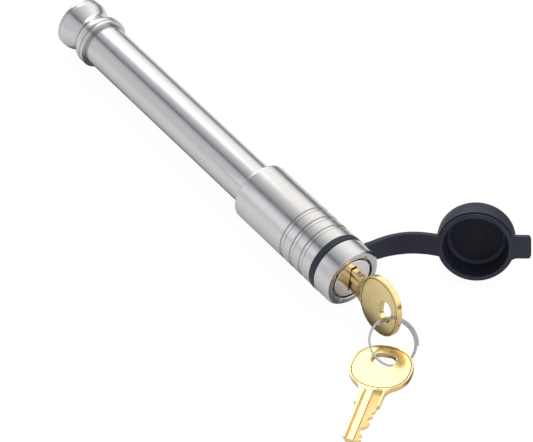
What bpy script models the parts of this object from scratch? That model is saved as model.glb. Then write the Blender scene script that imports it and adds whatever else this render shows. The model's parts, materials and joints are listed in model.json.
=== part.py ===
"""A hitch pin lock: a receiver pin, its keyed lock head, the tethered dust cap and two keys.

+X runs along the pin from the flat face of its knob to the lock's face, +Z is up, and the
origin is the centre of the knob's flat face. The lock is at rest unlocked, key in, cap off.
Driving sizes are millimetres and become metres through MM where a mesh is made.
"""

from math import acos, cos, pi, radians, sin

import bmesh
import bpy
from mathutils import Matrix, Vector

MM = 0.001
ROUND = 44          # segments of a large turned piece
SMALL_ROUND = 28    # segments of a small turned piece

# hitch pin
PIN_R = 7.9375
SEAT_X = 15.4       # the collar's face that stops against the hitch
COLLAR_R = 9.52
KNOB_R = 9.55
KNOB_FACE_R = 8.75
KNOB_EDGE = 1.2     # radius of the knob's rounded rim
WAIST_R = 7.95
WAIST_X = (2.9, 13.2)
SHOULDER_X = 114.0
NOSE_R = 4.8
NOSE_END = 126.2
GROOVE_R = 3.5
GROOVE_HALF = (1.3, 2.6)    # half widths of the ball groove at its floor and at its top
BALL_X = 123.2

# lock head
HEAD_X = 108.0
FACE_X = 160.0
HEAD_R = 10.95
CAVITY_R = 8.15
GRIP_GROOVES = (134.6, 139.8, 144.9)
GRIP_WIDTH = 2.3
GRIP_DEPTH = 0.5
TETHER_X = 151.4    # middle of the tether ring's groove
TETHER_GROOVE = 2.8
TETHER_FLOOR_R = 10.15
HEAD_EDGE = 0.95    # radius of the rounding at the head's open end
FACE_BEVEL = (0.8, 0.75)
SEAL_X = 111.0
SEAL_SIZE = (8.55, 0.45)    # mean radius and section radius of the O-ring
SEAL_GROOVE = (0.75, 1.0)   # half width and depth

# ball lock
BALL_R = 1.2
BALL_OPEN = 6.1     # ball centre's radius, unlocked
BALL_SHUT = 4.85    # ball centre's radius, in the pin's groove
BALL_PLAY = 0.1
CAGE_R = (4.95, 5.75)
CAGE_X = (115.4, 118.8, 126.4)      # flange, sleeve and the sleeve's end
CAGE_FLANGE_R = 7.95
CAM_R = 8.0
CAM_X = (119.3, 128.8)
CAM_FLOOR = (126.9, 128.7, 7.6)     # start, end and radius of the web across the cam
CAM_HOLD = radians(15)              # angle over which the cam keeps the balls in or out
DRIVER = (4.6, 2.0, 6.0)            # the flat bar that joins plug and cam
DRIVER_X = 130.7
DRIVER_SLOT = (2.3, 6.3)

# key cylinder
KEY_TILT = radians(-8.5)    # the keyway leans this far off vertical
SHELL_X = (132.6, 158.0)
SHELL_R = (6.6, 8.0)
BROACH_R = 7.5
BROACH_HALF = radians(25)   # half the angle of each slot that takes the wafers' ends
PLUG_R = 6.45
PLUG_X = (130.3, 158.4)
CLIP_X = 131.5
CLIP_R = (5.45, 7.3)
CLIP_HALF = 0.4             # half thickness
CLIP_GROOVE = (0.6, 5.3)    # half width and floor radius
FACE_PLATE_X = (158.7, 159.8)
FACE_PLATE_R = 7.4
KEYWAY = (2.5, 9.9)         # width and height
WAFER_X = (144.6, 147.1, 149.6, 152.1, 154.6)
WAFER_THICK = 1.0
WAFER_WIDTH = 4.9
WAFER_END_R = 6.3
WAFER_PLAY = 0.4            # total room for a wafer in its slot
WAFER_WINDOW = (1.3, 4.5)   # half width and half height
WAFER_EAR = (4.2, 0.6, 1.8)     # reach, bottom and top of the ear that sits on the spring
EAR_ROOM = (2.3, 6.6)       # width and height of the ear's and spring's pocket
EAR_ROOM_AT = (3.35, -0.4)
SPRING_AT = 3.45            # the springs' distance from the cylinder's axis
SPRING_Z = (-3.4, 0.35)
SPRING_R = 0.48
SPRING_WIRE = 0.11
SHELL_PIN_R = 0.8
SHELL_PIN_LONG = 2.6
SHELL_PIN_AT = 8.5          # distance of the shell pin's middle from the axis

# keys
KEY_THICK = 2.0
KEY_REACH = 17.3            # blade length inside the lock's face
BOW_U = 33.0                # bow centre's distance from the blade's tip
BOW_HALF = (9.8, 10.6)      # along and across the key
BOW_SQUARE = 2.25           # exponent of the bow's rounded outline
HOLE_U = 36.3
HOLE_HALF = (2.8, 4.0)
BLADE_HALF = 3.6
NECK_HALF = 4.4
NECK_END = 22.6
BOW_SWEEP = radians(148)    # the bow's outline runs this far each way from its far end
CUT_HALF = (0.4, 1.1)       # half widths of a cut at its floor and its mouth
KEY_CUTS = ((2.6, 1.9), (5.4, 2.9), (8.0, 0.7), (10.6, 1.6), (13.2, 0.9))

# split ring and spare key
RING_CENTRE = (185.93, -3.02, -7.08)
RING_NORMAL = (radians(-7.14), radians(57.04))    # azimuth and elevation
RING_R = 8.12
RING_WIRE = 0.55
RING_PIVOT = (179.56, -0.41, -2.77)     # where its wire crosses the hole of the key in the lock
SPARE_PIVOT = (189.47, -9.76, -9.9)     # where its wire crosses the spare key's hole
SPARE_TIP = (210.12, -38.79, -10.7)
SPARE_HEADING = radians(125.21)
SPARE_PITCH = radians(-1.3)
SPARE_ROLL = radians(-4.14)

# rubber tether and dust cap
RUBBER = 2.4                # thickness of the ring, strap and tab
STRAP_HALF = 4.15
STRAP_TURN = radians(-12)   # the tether ring rests turned by this much about the head
STRAP_ROOT_R = 15.0
STRAP_BOW = (-1.5, 1.9, 0.1)    # the middle bend's offset from the line between the ends
CAP_CENTRE = (175.75, 39.85, 2.88)
CAP_NORMAL = (radians(-42.25), radians(16.56))
CAP_ROLL = radians(3.3)     # the cap's turn about its own axis, pull tab up
CAP_R = (11.1, 13.1)
CAP_DEPTH = 7.6
CAP_FLOOR = 2.2
CAP_LEDGE = (10.1, 6.5)     # radius and depth of the ledge that seals on the face
TAB_REACH = 18.6
STRAP_GAP = 2.6             # free length of rubber at each bend, left open between links


def clear_scene():
    for thing in list(bpy.data.objects):
        bpy.data.objects.remove(thing, do_unlink=True)


def material(name, colour, roughness, metallic):
    made = bpy.data.materials.new(name)
    made.use_nodes = True
    shader = made.node_tree.nodes["Principled BSDF"]
    shader.inputs["Base Color"].default_value = (*colour, 1.0)
    shader.inputs["Roughness"].default_value = roughness
    shader.inputs["Metallic"].default_value = metallic
    return made


def place(name, bm, look):
    """The finished bmesh, in metres, as a named object with smooth sides and outward faces."""
    bmesh.ops.recalc_face_normals(bm, faces=bm.faces)
    mesh = bpy.data.meshes.new(name)
    bm.to_mesh(mesh)
    bm.free()
    mesh.shade_smooth()
    mesh.set_sharp_from_angle(angle=radians(32))
    mesh.materials.append(look)
    thing = bpy.data.objects.new(name, mesh)
    bpy.context.scene.collection.objects.link(thing)
    return thing


def arc(centre, radius, start, end, steps):
    """Points of an arc in the profile plane; angles in degrees, 0 along +x."""
    angles = [radians(start + (end - start) * k / steps) for k in range(steps + 1)]
    return [(centre[0] + radius * cos(a), centre[1] + radius * sin(a)) for a in angles]


def turned_bmesh(profile, segments):
    """A closed (x, radius) profile in millimetres, turned about the X axis."""
    bm = bmesh.new()
    corners = [bm.verts.new((x * MM, 0.0, r * MM)) for x, r in profile]
    open_end = any(r == 0 for _, r in profile)
    pairs = list(zip(corners, corners[1:] + corners[:1]))
    if open_end:
        pairs = [p for p in pairs if p[0].co.z > 0 or p[1].co.z > 0]
    edges = [bm.edges.new(pair) for pair in pairs]
    bmesh.ops.spin(
        bm, geom=corners + edges, cent=(0, 0, 0), axis=(1, 0, 0),
        angle=2 * pi, steps=segments, use_merge=True,
    )
    bmesh.ops.remove_doubles(bm, verts=bm.verts, dist=1e-6)
    return bm


def turned(name, profile, look, segments=ROUND):
    return place(name, turned_bmesh(profile, segments), look)


def ring_of(name, x_range, outer_r, inner_at, look, segments=72):
    """A ring along X whose inner radius is a function of the angle about X."""
    bm = bmesh.new()
    loops = []
    for radius_at in (lambda a: outer_r, inner_at):
        spots = []
        for k in range(segments):
            a = 2 * pi * k / segments
            r = radius_at(a)
            spots.append(bm.verts.new((x_range[0] * MM, r * cos(a) * MM, r * sin(a) * MM)))
        loops.append([bm.edges.new(pair) for pair in zip(spots, spots[1:] + spots[:1])])
    bmesh.ops.bridge_loops(bm, edges=loops[0] + loops[1])
    grown = bmesh.ops.extrude_face_region(bm, geom=bm.faces[:])
    moved = [v for v in grown["geom"] if isinstance(v, bmesh.types.BMVert)]
    bmesh.ops.translate(bm, verts=moved, vec=((x_range[1] - x_range[0]) * MM, 0, 0))
    return place(name, bm, look)


def block_bmesh(size, matrix, bevel=0.0):
    bm = bmesh.new()
    bmesh.ops.create_cube(bm, size=1.0)
    bmesh.ops.scale(bm, verts=bm.verts, vec=[s * MM for s in size])
    if bevel:
        bmesh.ops.bevel(
            bm, geom=bm.edges[:], offset=bevel * MM, segments=2, profile=0.5, affect="EDGES"
        )
    bmesh.ops.transform(bm, matrix=matrix, verts=bm.verts)
    return bm


def block(name, size, matrix, look, bevel=0.0):
    return place(name, block_bmesh(size, matrix, bevel), look)


def cutter(name, bm, look):
    made = place(name, bm, look)
    made.hide_render = True
    made.display_type = "WIRE"
    return made


def boolean(target, tool, operation):
    change = target.modifiers.new(operation.lower(), "BOOLEAN")
    change.operation = operation
    change.solver = "EXACT"
    change.object = tool
    tool.hide_render = True
    tool.display_type = "WIRE"


def spot(x, y, z):
    return Matrix.Translation(Vector((x, y, z)) * MM)


def pivot(thing, point):
    """Puts the object's origin on its joint, at a point in metres, and leaves its shape in place."""
    shift = thing.matrix_world.inverted() @ Vector(point)
    thing.data.transform(Matrix.Translation(-shift))
    thing.matrix_world = thing.matrix_world @ Matrix.Translation(shift)


def frame_of(origin, x_axis, z_hint):
    """A matrix at origin (mm) with its X along x_axis and its Z as near z_hint as can be."""
    x = Vector(x_axis).normalized()
    y = Vector(z_hint).cross(x).normalized()
    z = x.cross(y)
    turn = Matrix((x, y, z)).transposed().to_4x4()
    return spot(*origin) @ turn


def direction(azimuth, elevation):
    return Vector((cos(azimuth) * cos(elevation), sin(azimuth) * cos(elevation), sin(elevation)))


def key_turn():
    """Rotation that lays the cylinder's own vertical along the leaning keyway."""
    return Matrix.Rotation(KEY_TILT, 4, "X")


# ---- pin ----------------------------------------------------------------------------------


def waist_profile():
    """The knob's hollow waist, from the knob's rim to the collar, as a cosine dip."""
    start, end = WAIST_X
    steps = 12
    points = []
    for k in range(steps + 1):
        share = k / steps
        rim = KNOB_R + (COLLAR_R - KNOB_R) * share
        dip = 0.5 - 0.5 * cos(2 * pi * share)
        points.append((start + (end - start) * share, rim - (rim - WAIST_R) * dip))
    return points


def hitch_pin(look):
    floor, top = GROOVE_HALF
    profile = [(0.0, 0.0), (0.0, KNOB_FACE_R)]
    profile += arc((KNOB_EDGE + 0.15, KNOB_R - KNOB_EDGE), KNOB_EDGE, 150, 90, 3)
    profile += waist_profile()
    profile += [(SEAT_X - 0.5, COLLAR_R), (SEAT_X, COLLAR_R - 0.4), (SEAT_X, PIN_R)]
    profile += [(SHOULDER_X - 0.9, PIN_R), (SHOULDER_X, PIN_R - 0.9), (SHOULDER_X, NOSE_R)]
    profile += [(BALL_X - top, NOSE_R), (BALL_X - floor, GROOVE_R), (BALL_X + floor, GROOVE_R)]
    profile += [(BALL_X + top, NOSE_R), (NOSE_END - 0.2, NOSE_R), (NOSE_END, NOSE_R - 0.3)]
    profile += [(NOSE_END, 0.0)]
    return turned("hitch_pin", profile, look)


# ---- lock head ----------------------------------------------------------------------------


def grip_groove(x):
    half = GRIP_WIDTH / 2
    return [
        (x - half, HEAD_R), (x - half + 0.35, HEAD_R - GRIP_DEPTH),
        (x + half - 0.35, HEAD_R - GRIP_DEPTH), (x + half, HEAD_R),
    ]


def lock_body(look):
    outside = [(HEAD_X, CAVITY_R + 0.1), (HEAD_X, HEAD_R - HEAD_EDGE)]
    outside += arc((HEAD_X + HEAD_EDGE, HEAD_R - HEAD_EDGE), HEAD_EDGE, 150, 90, 2)
    for x in GRIP_GROOVES:
        outside += grip_groove(x)
    half = TETHER_GROOVE / 2
    outside += [(TETHER_X - half, HEAD_R), (TETHER_X - half, TETHER_FLOOR_R)]
    outside += [(TETHER_X + half, TETHER_FLOOR_R), (TETHER_X + half, HEAD_R)]
    outside += [(FACE_X - FACE_BEVEL[0], HEAD_R), (FACE_X, HEAD_R - FACE_BEVEL[1])]
    wide, deep = SEAL_GROOVE
    inside = [(FACE_X, CAVITY_R), (SEAL_X + wide, CAVITY_R), (SEAL_X + wide, CAVITY_R + deep)]
    inside += [(SEAL_X - wide, CAVITY_R + deep), (SEAL_X - wide, CAVITY_R)]
    inside += [(HEAD_X + 0.1, CAVITY_R)]
    body = turned("lock_body", outside + inside, look)
    boolean(body, shell_pin_hole(look, "body_pin_hole", 7.0, 12.0), "DIFFERENCE")
    return body


def shell_pin_matrix(radius):
    """A place on the shell pin's own line, which leaves the cylinder square to the keyway."""
    return key_turn() @ spot(TETHER_X, radius, 0) @ Matrix.Rotation(radians(90), 4, "X")


def shell_pin_hole(look, name, low, high):
    bm = bmesh.new()
    bmesh.ops.create_cone(
        bm, cap_ends=True, segments=16, radius1=(SHELL_PIN_R + 0.15) * MM,
        radius2=(SHELL_PIN_R + 0.15) * MM, depth=(high - low) * MM,
        matrix=shell_pin_matrix(-(low + high) / 2),
    )
    return cutter(name, bm, look)


def shell_pin(look):
    bm = bmesh.new()
    bmesh.ops.create_cone(
        bm, cap_ends=True, segments=16, radius1=SHELL_PIN_R * MM, radius2=SHELL_PIN_R * MM,
        depth=SHELL_PIN_LONG * MM, matrix=shell_pin_matrix(-SHELL_PIN_AT),
    )
    return place("shell_pin", bm, look)


def pin_seal(look):
    return turned("pin_seal", arc((SEAL_X, SEAL_SIZE[0]), SEAL_SIZE[1], 0, 324, 9), look)


# ---- ball lock ----------------------------------------------------------------------------


def ball_cage(look):
    low, high = CAGE_R
    start, sleeve, end = CAGE_X
    profile = [(start, low), (start, CAGE_FLANGE_R), (sleeve, CAGE_FLANGE_R), (sleeve, high)]
    profile += [(end, high), (end, low)]
    cage = turned("ball_cage", profile, look)
    bm = bmesh.new()
    bmesh.ops.create_cone(
        bm, cap_ends=True, segments=24, radius1=(BALL_R + BALL_PLAY) * MM,
        radius2=(BALL_R + BALL_PLAY) * MM, depth=20 * MM,
        matrix=spot(BALL_X, 0, 0) @ Matrix.Rotation(radians(90), 4, "X"),
    )
    boolean(cage, cutter("ball_holes", bm, look), "DIFFERENCE")
    return cage


def locking_ball(index, centre, look):
    bm = bmesh.new()
    at = Matrix.Translation(centre)
    bmesh.ops.create_icosphere(bm, subdivisions=2, radius=BALL_R * MM, matrix=at)
    return place(f"locking_ball_{index}", bm, look)


def cam_radius(angle):
    """Inner radius of the cam: a pocket over each ball, closing in over a quarter turn."""
    open_r = BALL_OPEN + BALL_R + BALL_PLAY
    shut_r = BALL_SHUT + BALL_R + BALL_PLAY
    turn = angle % pi
    quarter = pi / 2
    if turn <= quarter:
        return open_r + (shut_r - open_r) * turn / quarter
    if turn <= quarter + CAM_HOLD:
        return shut_r
    if turn >= pi - CAM_HOLD:
        return open_r
    share = (turn - quarter - CAM_HOLD) / (quarter - 2 * CAM_HOLD)
    return shut_r + (open_r - shut_r) * share


def cam_ring(look):
    cup = ring_of("cam_ring", CAM_X, CAM_R, cam_radius, look)
    low, high, radius = CAM_FLOOR
    floor = turned_bmesh([(low, 0), (low, radius), (high, radius), (high, 0)], SMALL_ROUND)
    boolean(cup, cutter("cam_floor", floor, look), "UNION")
    slot = block_bmesh((6, *DRIVER_SLOT), key_turn() @ spot(high - 0.7, 0, 0))
    boolean(cup, cutter("cam_slot", slot, look), "DIFFERENCE")
    return cup


# ---- key cylinder -------------------------------------------------------------------------


def shell_radius(angle):
    """Inner radius of the shell: round, with slots for the wafers' ends at each quarter turn."""
    lean = angle - KEY_TILT
    off = abs((lean + pi / 4) % (pi / 2) - pi / 4)
    return BROACH_R if off < BROACH_HALF else SHELL_R[0]


def cylinder_shell(look):
    shell = ring_of("cylinder_shell", SHELL_X, SHELL_R[1], shell_radius, look)
    boolean(shell, shell_pin_hole(look, "shell_pin_seat", 7.0, 10.0), "DIFFERENCE")
    return shell


def plug(look):
    wide, floor = CLIP_GROOVE
    near, far = CLIP_X - wide, CLIP_X + wide
    profile = [(PLUG_X[0], 0), (PLUG_X[0], PLUG_R), (near, PLUG_R), (near, floor)]
    profile += [(far, floor), (far, PLUG_R), (PLUG_X[1], PLUG_R), (PLUG_X[1], 0)]
    core = turned("plug", profile, look, SMALL_ROUND + 8)
    lean = key_turn()
    keyway = block_bmesh((20, *KEYWAY), lean @ spot(151.5, 0, 0))
    boolean(core, cutter("plug_keyway", keyway, look), "DIFFERENCE")
    drive = block_bmesh((4, *DRIVER_SLOT), lean @ spot(PLUG_X[0] + 1, 0, 0))
    boolean(core, cutter("plug_drive_slot", drive, look), "DIFFERENCE")
    for index, x in enumerate(WAFER_X, 1):
        thick, wide = WAFER_THICK + WAFER_PLAY, WAFER_WIDTH + WAFER_PLAY
        room = block_bmesh((thick, wide, 3 * PLUG_R), lean @ spot(x, 0, 0))
        boolean(core, cutter(f"wafer_slot_{index}", room, look), "DIFFERENCE")
        ear = block_bmesh((thick, *EAR_ROOM), lean @ spot(x, *EAR_ROOM_AT))
        boolean(core, cutter(f"ear_slot_{index}", ear, look), "DIFFERENCE")
    return core


def plug_face(look):
    near, far = FACE_PLATE_X
    edge = 0.25
    profile = [(near, 0), (near, FACE_PLATE_R), (far - edge, FACE_PLATE_R)]
    profile += [(far, FACE_PLATE_R - edge), (far, 0)]
    plate = turned("plug_face", profile, look)
    slot = block_bmesh((6, *KEYWAY), key_turn() @ spot(far - 0.5, 0, 0))
    boolean(plate, cutter("face_keyway", slot, look), "DIFFERENCE")
    return plate


def plug_clip(look):
    """A thin open ring in the plug's rear groove, which stops the plug coming out forwards."""
    bm = bmesh.new()
    low, high = CLIP_R
    half = CLIP_HALF
    corners = ((-half, low), (-half, high), (half, high), (half, low))
    ring = [bm.verts.new(((CLIP_X + x) * MM, 0, r * MM)) for x, r in corners]
    face = bm.faces.new(ring)
    bmesh.ops.spin(
        bm, geom=[face], cent=(0, 0, 0), axis=(1, 0, 0), angle=radians(290), steps=24
    )
    return place("plug_clip", bm, look)


def tail_driver(look):
    return block("tail_driver", DRIVER, key_turn() @ spot(DRIVER_X, 0, 0), look)


def wafer(index, x, look):
    """A flat tumbler with a window for the key and an ear that rests on its spring."""
    half = WAFER_WIDTH / 2
    outline = []
    top = acos(half / WAFER_END_R)
    for side in (1, -1):
        for k in range(7):
            a = (top + (pi - 2 * top) * k / 6) if side > 0 else -(pi - top) + (pi - 2 * top) * k / 6
            outline.append((WAFER_END_R * cos(a), WAFER_END_R * sin(a)))
        if side > 0:
            continue
        reach, low, high = WAFER_EAR
        outline += [(half, low), (reach, low), (reach, high), (half, high)]
    wide, tall = WAFER_WINDOW
    window = [(-wide, -tall), (wide, -tall), (wide, tall), (-wide, tall)]
    matrix = key_turn() @ spot(x, 0, 0) @ Matrix.Rotation(radians(90), 4, "Z")
    matrix = matrix @ Matrix.Rotation(radians(90), 4, "X")
    return sheet(f"wafer_{index}", [outline, window], WAFER_THICK, matrix, look)


def wafer_spring(index, x, look):
    turns, steps = 3, 10
    bottom, top = SPRING_Z
    curve = bpy.data.curves.new(f"wafer_spring_{index}", "CURVE")
    curve.dimensions = "3D"
    curve.bevel_depth = SPRING_WIRE * MM
    curve.bevel_resolution = 0
    curve.use_fill_caps = True
    line = curve.splines.new("POLY")
    count = turns * steps
    line.points.add(count)
    for k in range(count + 1):
        a = 2 * pi * k / steps
        height = bottom + (top - bottom) * k / count
        line.points[k].co = (SPRING_R * cos(a) * MM, SPRING_R * sin(a) * MM, height * MM, 1)
    curve.materials.append(look)
    thing = bpy.data.objects.new(f"wafer_spring_{index}", curve)
    bpy.context.scene.collection.objects.link(thing)
    thing.matrix_world = key_turn() @ spot(x, SPRING_AT, 0)
    return thing


# ---- keys ---------------------------------------------------------------------------------


def sheet(name, outlines, thickness, matrix, look):
    """Flat outlines in millimetres, the second and later ones holes, given a thickness."""
    curve = bpy.data.curves.new(name, "CURVE")
    curve.dimensions = "2D"
    curve.fill_mode = "BOTH"
    curve.extrude = thickness / 2 * MM
    for outline in outlines:
        line = curve.splines.new("POLY")
        line.points.add(len(outline) - 1)
        for point, (u, v) in zip(line.points, outline):
            point.co = (u * MM, v * MM, 0, 1)
        line.use_cyclic_u = True
    curve.materials.append(look)
    thing = bpy.data.objects.new(name, curve)
    bpy.context.scene.collection.objects.link(thing)
    thing.matrix_world = matrix
    return thing


def bow_point(angle):
    """The bow's rounded outline, a superellipse about the bow's centre."""
    power = 2 / BOW_SQUARE
    u = BOW_HALF[0] * abs(cos(angle)) ** power * (1 if cos(angle) > 0 else -1)
    v = BOW_HALF[1] * abs(sin(angle)) ** power * (1 if sin(angle) > 0 else -1)
    return BOW_U + u, v


def key_outline():
    """From the tip round the bow and back along the cut edge; u runs up the key."""
    outline = [(0.0, -1.2), (0.0, 2.4), (1.2, BLADE_HALF), (KEY_REACH, BLADE_HALF)]
    outline += [(KEY_REACH, NECK_HALF), (NECK_END, NECK_HALF + 0.2)]
    steps = 34
    outline += [bow_point(BOW_SWEEP * (1 - 2 * k / steps)) for k in range(steps + 1)]
    outline += [(NECK_END, -NECK_HALF - 0.2), (KEY_REACH, -NECK_HALF), (KEY_REACH, -BLADE_HALF)]
    floor, mouth = CUT_HALF
    for u, depth in reversed(KEY_CUTS):
        outline += [(u + mouth, -BLADE_HALF + 0.2), (u + floor, -BLADE_HALF + depth)]
        outline += [(u - floor, -BLADE_HALF + depth), (u - mouth, -BLADE_HALF + 0.2)]
    return outline


def key_hole():
    """The rounded slot in the bow that the split ring passes through."""
    half_u, half_v = HOLE_HALF
    straight = half_v - half_u
    points = []
    for side in (1, -1):
        for k in range(11):
            a = pi * k / 10 if side > 0 else pi + pi * k / 10
            points.append((HOLE_U + half_u * cos(a), side * straight + half_u * sin(a)))
    return points


def key_frame():
    """Key in the lock: tip inside, the key's v axis along the leaning keyway."""
    tip = key_turn() @ spot(FACE_PLATE_X[1] - KEY_REACH, 0, 0)
    return tip @ Matrix.Rotation(radians(90), 4, "X")


def spare_frame():
    heading = Matrix.Rotation(SPARE_HEADING, 4, "Z")
    pitch = Matrix.Rotation(SPARE_PITCH, 4, "Y")
    roll = Matrix.Rotation(SPARE_ROLL, 4, "X")
    return spot(*SPARE_TIP) @ heading @ pitch @ roll


def flat_key(name, matrix, look):
    return sheet(name, [key_outline(), key_hole()], KEY_THICK, matrix, look)


def split_ring(look):
    profile = arc((0, RING_R), RING_WIRE, 0, 315, 7)
    bm = turned_bmesh(profile, 48)
    turn = frame_of(RING_CENTRE, direction(*RING_NORMAL), (0, 0, 1))
    bmesh.ops.transform(bm, matrix=turn, verts=bm.verts)
    return place("split_ring", bm, look)


# ---- tether and cap -----------------------------------------------------------------------


def strap_turn():
    return Matrix.Rotation(STRAP_TURN, 4, "X")


def tether_ring(look):
    half = RUBBER / 2
    low, high = TETHER_FLOOR_R + 0.12, HEAD_R + 0.1
    profile = [(TETHER_X - half, low), (TETHER_X - half, high), (TETHER_X + half, high)]
    profile += [(TETHER_X + half, low)]
    ring = turned("tether_ring", profile, look)
    start = HEAD_R - 0.35
    middle = (start + STRAP_ROOT_R) / 2
    root = block_bmesh(
        (RUBBER - 0.02, STRAP_ROOT_R - start, 2 * STRAP_HALF), strap_turn() @ spot(TETHER_X, middle, 0)
    )
    boolean(ring, cutter("strap_root", root, look), "UNION")
    bore = turned_bmesh([(140, 0), (140, low), (165, low), (165, 0)], ROUND)
    boolean(ring, cutter("tether_bore", bore, look), "DIFFERENCE")
    return ring


def cap_frame():
    """Origin at the rim's centre, X out of the open end, Z up the rim."""
    upright = frame_of(CAP_CENTRE, direction(*CAP_NORMAL), (0, 0, 1))
    return upright @ Matrix.Rotation(CAP_ROLL, 4, "X")


def cap_root():
    """Where the strap meets the cap's rim, in the object's frame."""
    return cap_frame() @ (Vector((-RUBBER / 2, -CAP_R[1] - 1.6, 0)) * MM)


def dust_cap(look):
    inner, outer = CAP_R
    ledge_r, ledge_x = CAP_LEDGE
    back = -(CAP_DEPTH + CAP_FLOOR)
    profile = [(0, inner), (0, outer - 0.4), (-0.4, outer), (back + 1.4, outer - 0.4)]
    profile += [(back + 0.5, outer - 0.8), (back, outer - 2.0), (back, 0), (-CAP_DEPTH, 0)]
    profile += [(-CAP_DEPTH, ledge_r), (-ledge_x, ledge_r), (-ledge_x, inner)]
    bm = turned_bmesh(profile, ROUND)
    bmesh.ops.transform(bm, matrix=cap_frame(), verts=bm.verts)
    cup = place("dust_cap", bm, look)
    start = inner + 1.0
    tab = (RUBBER, TAB_REACH - start, 2 * STRAP_HALF)
    at = cap_frame() @ spot(-RUBBER / 2 - 0.02, (TAB_REACH + start) / 2, 0)
    boolean(cup, cutter("pull_tab", block_bmesh(tab, at, 0.4), look), "UNION")
    root = (RUBBER, 2.0, 2 * STRAP_HALF)
    at = cap_frame() @ spot(-RUBBER / 2 - 0.02, -(start + 1.0), 0)
    boolean(cup, cutter("cap_strap_root", block_bmesh(root, at), look), "UNION")
    return cup


def strap_piece(name, start, end, look):
    """A flat link of the strap; each end is a point in metres and the way the width runs."""
    run = (end[0] - start[0]).normalized()
    bm = bmesh.new()
    loops = []
    for (point, up), inward in ((start, 1), (end, -1)):
        centre = point + run * inward * STRAP_GAP / 2 * MM
        side = up.cross(run).normalized() * (RUBBER / 2 - 0.1) * MM
        rise = up * STRAP_HALF * MM
        corners = (side + rise, rise - side, -side - rise, side - rise)
        loops.append([bm.verts.new(centre + corner) for corner in corners])
    near, far = loops
    bm.faces.new(near)
    bm.faces.new(far)
    for k in range(4):
        bm.faces.new((near[k], near[k - 1], far[k - 1], far[k]))
    return place(name, bm, look)


def strap_ends():
    """The strap's two ends and its middle, each a point and the way the width runs."""
    first = strap_turn() @ (Vector((TETHER_X, STRAP_ROOT_R, 0)) * MM)
    last = cap_root()
    middle = first.lerp(last, 0.5) + Vector(STRAP_BOW) * MM
    root = strap_turn().to_3x3() @ Vector((0, 0, 1))
    rim = cap_frame().to_3x3() @ Vector((0, 0, 1))
    return (first, root), (middle, root.lerp(rim, 0.5).normalized()), (last, rim)


def main():
    clear_scene()
    steel = material("brushed_stainless", (0.62, 0.61, 0.59), 0.28, 1.0)
    inner_steel = material("hardened_steel", (0.45, 0.45, 0.46), 0.35, 1.0)
    zinc = material("zinc", (0.5, 0.5, 0.51), 0.4, 1.0)
    brass = material("brass", (0.78, 0.63, 0.3), 0.25, 1.0)
    rubber = material("rubber", (0.025, 0.027, 0.035), 0.6, 0.0)
    hitch_pin(steel)
    lock_body(steel)
    shell_pin(inner_steel)
    pin_seal(rubber)
    ball_cage(inner_steel)
    for index, side in ((1, 1), (2, -1)):
        centre = Vector((BALL_X, side * BALL_OPEN, 0)) * MM
        pivot(locking_ball(index, centre, inner_steel), centre)
    cam_ring(zinc)
    cylinder_shell(zinc)
    plug(brass)
    plug_face(steel)
    plug_clip(inner_steel)
    tail_driver(inner_steel)
    for index, x in enumerate(WAFER_X, 1):
        wafer(index, x, brass)
        wafer_spring(index, x, inner_steel)
    flat_key("key_in_lock", key_frame(), brass)
    pivot(flat_key("spare_key", spare_frame(), brass), Vector(SPARE_PIVOT) * MM)
    pivot(split_ring(inner_steel), Vector(RING_PIVOT) * MM)
    tether_ring(rubber)
    first, middle, last = strap_ends()
    pivot(strap_piece("strap_1", first, middle, rubber), first[0])
    pivot(strap_piece("strap_2", middle, last, rubber), middle[0])
    pivot(dust_cap(rubber), last[0])


main()
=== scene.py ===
"""The looks of a hitch pin lock: turned stainless pin and lock head, brass keys, rubber dust cap.

The frame's X runs along the pin from its knob to the lock's face, and Z is up. Sizes are in
millimetres and become metres through MM; places come from the frame wherever it holds them.
"""

import json
from math import cos, pi, radians, sin, sqrt

import bmesh
import bpy
from mathutils import Matrix, Vector


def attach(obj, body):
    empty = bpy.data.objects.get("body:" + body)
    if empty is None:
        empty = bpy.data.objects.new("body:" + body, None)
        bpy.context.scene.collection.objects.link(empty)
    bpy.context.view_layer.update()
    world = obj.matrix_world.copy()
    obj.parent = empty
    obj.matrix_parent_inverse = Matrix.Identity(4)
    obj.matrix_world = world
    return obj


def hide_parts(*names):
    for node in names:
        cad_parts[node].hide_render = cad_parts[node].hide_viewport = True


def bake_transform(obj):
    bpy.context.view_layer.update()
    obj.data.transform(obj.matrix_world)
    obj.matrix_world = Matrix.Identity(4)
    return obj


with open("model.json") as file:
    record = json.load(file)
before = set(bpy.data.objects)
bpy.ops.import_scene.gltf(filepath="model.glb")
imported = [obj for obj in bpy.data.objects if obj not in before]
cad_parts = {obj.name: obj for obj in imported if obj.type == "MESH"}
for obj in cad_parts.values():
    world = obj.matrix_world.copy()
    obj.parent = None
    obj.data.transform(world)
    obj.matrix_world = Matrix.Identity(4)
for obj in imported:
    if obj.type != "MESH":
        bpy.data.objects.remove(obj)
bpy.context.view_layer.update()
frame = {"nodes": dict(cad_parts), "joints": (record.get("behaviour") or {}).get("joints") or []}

MM = 0.001

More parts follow.
